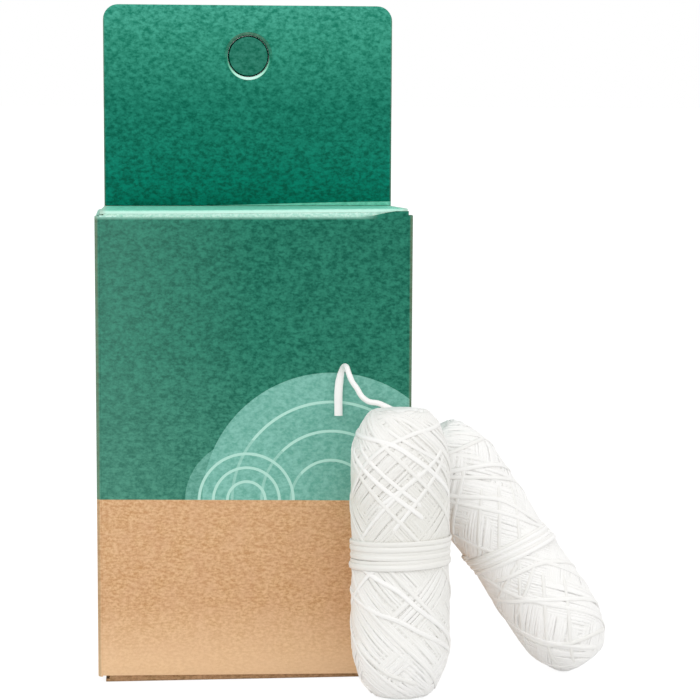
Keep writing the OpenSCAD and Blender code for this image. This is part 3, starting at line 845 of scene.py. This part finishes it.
# The hole's pressed rim and its disc. The punch presses the print in round the hole, so the rim
# is a slope, painted pale most at the bottom, in a crescent: a painted highlight where the slope
# faces the light from above.
hole_centre = (0, 107.6)
crescent_drop, crescent_radius = 0.45, 3.8

# Print of the rim: green ink, satin, greyer towards the top, and a painted highlight of mint
# white in the crescent.
rim_print_and_highlight, tree, shader = new_material("rim_print_with_painted_highlight")
here, fibre_height = board_fibres(tree)
deep_ink = up_the_board(tree, here, [(107, "#12715A"), (110.6, "#2F6A55"), (111.8, "#44705C")])
pale_ink = up_the_board(tree, here, [(107, "#3A997F"), (110.6, "#4D7C67"), (111.8, "#6B9880")])
rim_green = ink_on(tree, here, fibre_height, deep_ink, pale_ink)
# Painted highlight: mint white in a crescent at the bottom of the rim, fading upwards.
crescent_highlight_colour = up_the_board(tree, here, [(103.5, "#DCFFF5"), (104.4, "#BDF5DF"),
    (105.4, "#86D2B4"), (107.2, "#5FA98F")])
x, y, z = add_node(tree, "ShaderNodeSeparateXYZ", {0: here}).outputs
across = add_node(tree, "ShaderNodeCombineXYZ", {0: x, 2: z}).outputs[0]
distance = distance_from(tree, across, (hole_centre[0], 0, hole_centre[1] - crescent_drop))
crescent = from_to(tree, distance, crescent_radius, crescent_radius - 0.1)
rim_colour = mix_colours(tree, crescent, rim_green, crescent_highlight_colour)
finish_board(tree, shader, rim_colour, fibre_height, 0.5, 0.3)

# Groove ink: the tab's green in the shade of the cut round the disc, dull.
groove_ink = plain_board("shaded_groove_ink", "#0F5B46", "#0A4A38", 0.8, 0.3, 0)

# Print of the disc: green ink, matt, a little darker than the tab round it.
disc_print, tree, shader = new_material("darker_disc_board")
here, fibre_height = board_fibres(tree)
disc_green = ink_on(tree, here, fibre_height, linear("#0F6550"), linear("#358571"))
finish_board(tree, shader, disc_green, fibre_height, 0.65, 0.4)


def turned_ring(name, profile, steps, materials):
    """A ring or disc turned about the hole's axis from (radius, depth, material) points."""
    work = bmesh.new()
    rings = []
    for out, depth, _ in profile:
        if out == 0:
            rings.append([work.verts.new((hole_centre[0] * mm, depth * mm, hole_centre[1] * mm))] * steps)
        else:
            rings.append([work.verts.new(((hole_centre[0] + out * math.cos(a)) * mm, depth * mm,
                (hole_centre[1] + out * math.sin(a)) * mm))
                for a in (2 * math.pi * k / steps for k in range(steps))])
    for low, high, point in zip(rings, rings[1:], profile):
        for k in range(steps):
            corners = []
            for corner in (low[k], low[(k + 1) % steps], high[(k + 1) % steps], high[k]):
                if corner not in corners:
                    corners.append(corner)
            face = work.faces.new(corners)
            face.material_index = point[2]
            face.smooth = True
    bmesh.ops.remove_doubles(work, verts=work.verts, dist=0.0005 * mm)
    bmesh.ops.recalc_face_normals(work, faces=work.faces)
    return object_of(work, name, materials)


rim = turned_ring("hang_hole_rim", [(4.24, 11.1, 0), (4.2, 11.06, 0), (3.92, 11.07, 0), (3.7, 11.2, 1),
    (3.66, 11.6, 1), (3.66, 11.97, 0), (3.95, 12.02, 0), (3.89, 11.5, 0), (3.89, 11.2, 0), (4.24, 11.1, 0)],
    96, [rim_print_and_highlight, groove_ink])
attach(rim, "hang_tab")
disc = turned_ring("knock_out_disc", [(0, 11.2, 0), (3.3, 11.2, 0), (3.38, 11.22, 0), (3.42, 11.28, 1),
    (3.42, 11.7, 1), (3.64, 11.72, 1), (3.64, 11.9, 1), (3.6, 12.0, 0), (0, 12.0, 0)], 96,
    [disc_print, groove_ink])
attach(disc, "knock_out_disc")
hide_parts("hang_hole_disc")

# The closures. The top lid is creased to the back panel in front of the tab, its tuck flap goes
# in behind the front panel, and two dust flaps fold in from the sides under it. These are
# printed, and the bottom closure is bare outside.

# The lid's printed board: satin, with its green painted as a light mint, painted light where the
# light from above falls on its top, and nearly white along its front edge, partly rubbed and
# partly a painted highlight.
lid_print_and_light, tree, shader = new_material("lid_print_with_painted_light")
here, fibre_height = board_fibres(tree)
# Painted light: the lid's green is painted as a light mint, as its top is lit from above.
mint = ink_on(tree, here, fibre_height, linear("#63C4A9"), linear("#8CE2CA"))
place = add_node(tree, "ShaderNodeSeparateXYZ", {0: here})
# Painted highlight, partly rubbed ink: nearly white along the lid's front edge.
front_edge = from_to(tree, place.outputs[1], -10.9, -11.4, 0.85)
mint = mix_colours(tree, front_edge, mint, linear("#D2F8EA"))
mint = worn_edges(tree, here, mint, 25.0, 25.7, 0.6, "#A9BFB0")
finish_board(tree, shader, mint, fibre_height, 0.5, 0.4)

# Bare outer board of the bottom closure: brown, uncoated and a little smoother than inside, and
# painted darker than the inner board: painted shade, where it lies low under the front panel's edge.
bottom_board_in_painted_shade = plain_board("bare_outer_board_in_painted_shade", "#C5A078", "#99754F", 0.75, 0.5)


def lid_warp(x, y, z):
    """The lid stands a little proud of the carton, most at its right front corner, but so little
    that it clears the tab when it is open."""
    if z < 78:
        return 0, 0, 0
    right = ease((x + 20) / 50)
    front = min(1, max(0, (11 - y) / 23))
    spread = 0.4 * front * (ease((x - 15) / 10) - ease((-x - 15) / 10))
    return spread, 0, (0.42 + 0.32 * right) * front * ease((z - 78) / 2)


# The tuck flap's top, at the lid's front crease, takes the mint white of cracked ink with a painted
# highlight.
for node, outsides, insides, outer, warp, pale_edge in (
        ("top_lid", [(0, 0, 1), (0, -1, 0), (0, 1, 0)], [(0, 0, -1)], lid_print_and_light, lid_warp, None),
        ("top_tuck_flap", [(0, -1, 0)], [(0, 1, 0)], sleeve_print_and_light, lid_warp, (79, 40)),
        ("top_dust_flap_left", [(0, 0, 1), (-1, 0, 0), (0, -1, 0)], [(0, 0, -1)], sleeve_print_and_light, None, None),
        ("top_dust_flap_right", [(0, 0, 1), (1, 0, 0), (0, -1, 0)], [(0, 0, -1)], sleeve_print_and_light, None, None),
        ("bottom_lid", [(0, 0, -1), (0, -1, 0)], [(0, 0, 1)], bottom_board_in_painted_shade, None, None),
        ("bottom_tuck_flap", [(0, -1, 0)], [(0, 1, 0)], bottom_board_in_painted_shade, None, None),
        ("bottom_dust_flap_left", [(0, 0, -1), (-1, 0, 0)], [(0, 0, 1)], bottom_board_in_painted_shade, None, None),
        ("bottom_dust_flap_right", [(0, 0, -1), (1, 0, 0)], [(0, 0, 1)], bottom_board_in_painted_shade, None, None)):
    board = dress_board(node, node + "_board", outsides, insides, outer, warp, pale_edge)

# The floor and the light. A plain white floor runs back out of sight, and the sky round it is
# white. A large soft lamp stands high on the left and a weaker one on the right.

# Floor paint: white and matt. To the camera it glows, so that it runs into the sky unseen.
floor_paint, tree, shader = new_material("white_floor_paint")
shader.inputs["Base Color"].default_value = linear("#E6E6E6")
shader.inputs["Roughness"].default_value = 0.9
rays = add_node(tree, "ShaderNodeLightPath")
seen = calculate(tree, "MAXIMUM", rays.outputs["Is Camera Ray"], rays.outputs["Is Glossy Ray"])
seen = calculate(tree, "MAXIMUM", seen, rays.outputs["Is Transmission Ray"])
white = add_node(tree, "ShaderNodeEmission", {"Color": (1, 1, 1, 1), "Strength": 1.25})
floor_mix = add_node(tree, "ShaderNodeMixShader", {0: calculate(tree, "MULTIPLY", seen, 0.72),
    1: shader.outputs[0], 2: white.outputs[0]})
tree.links.new(floor_mix.outputs[0], tree.nodes["Material Output"].inputs["Surface"])
floor_mesh = bpy.data.meshes.new("floor")
side, front, rear, level = 6, -6, 12, -0.03 * mm
floor_mesh.from_pydata([(-side, front, level), (side, front, level), (side, rear, level),
    (-side, rear, level)], [], [(0, 1, 2, 3)])
floor_mesh.materials.append(floor_paint)
floor = add_object("floor", floor_mesh)

sky = bpy.data.worlds.new("white_sky")
sky.use_nodes = True
tree = sky.node_tree
background = tree.nodes["Background"]
rays = add_node(tree, "ShaderNodeLightPath")
seen = calculate(tree, "MAXIMUM", rays.outputs["Is Camera Ray"], rays.outputs["Is Glossy Ray"])
tree.links.new(map_range(tree, seen, 0, 1, 0.92, 1.0), background.inputs["Strength"])
background.inputs["Color"].default_value = (1, 1, 1, 1)
bpy.context.scene.world = sky

lit_point = Vector((0.01, 0, 0.05))
for name, place, size, power in (
        ("high_left_lamp", Vector((-0.55, -0.75, 0.85)), 0.7, 2.6),
        ("low_right_lamp", Vector((0.9, -0.6, 0.4)), 0.8, 1.0)):
    lamp_data = bpy.data.lights.new(name, "AREA")
    lamp_data.size = size
    lamp_data.energy = power
    lamp = add_object(name, lamp_data)
    lamp.location = place
    lamp.rotation_euler = (lit_point - place).to_track_quat("-Z", "Y").to_euler()

bpy.context.scene.view_settings.view_transform = "Standard"
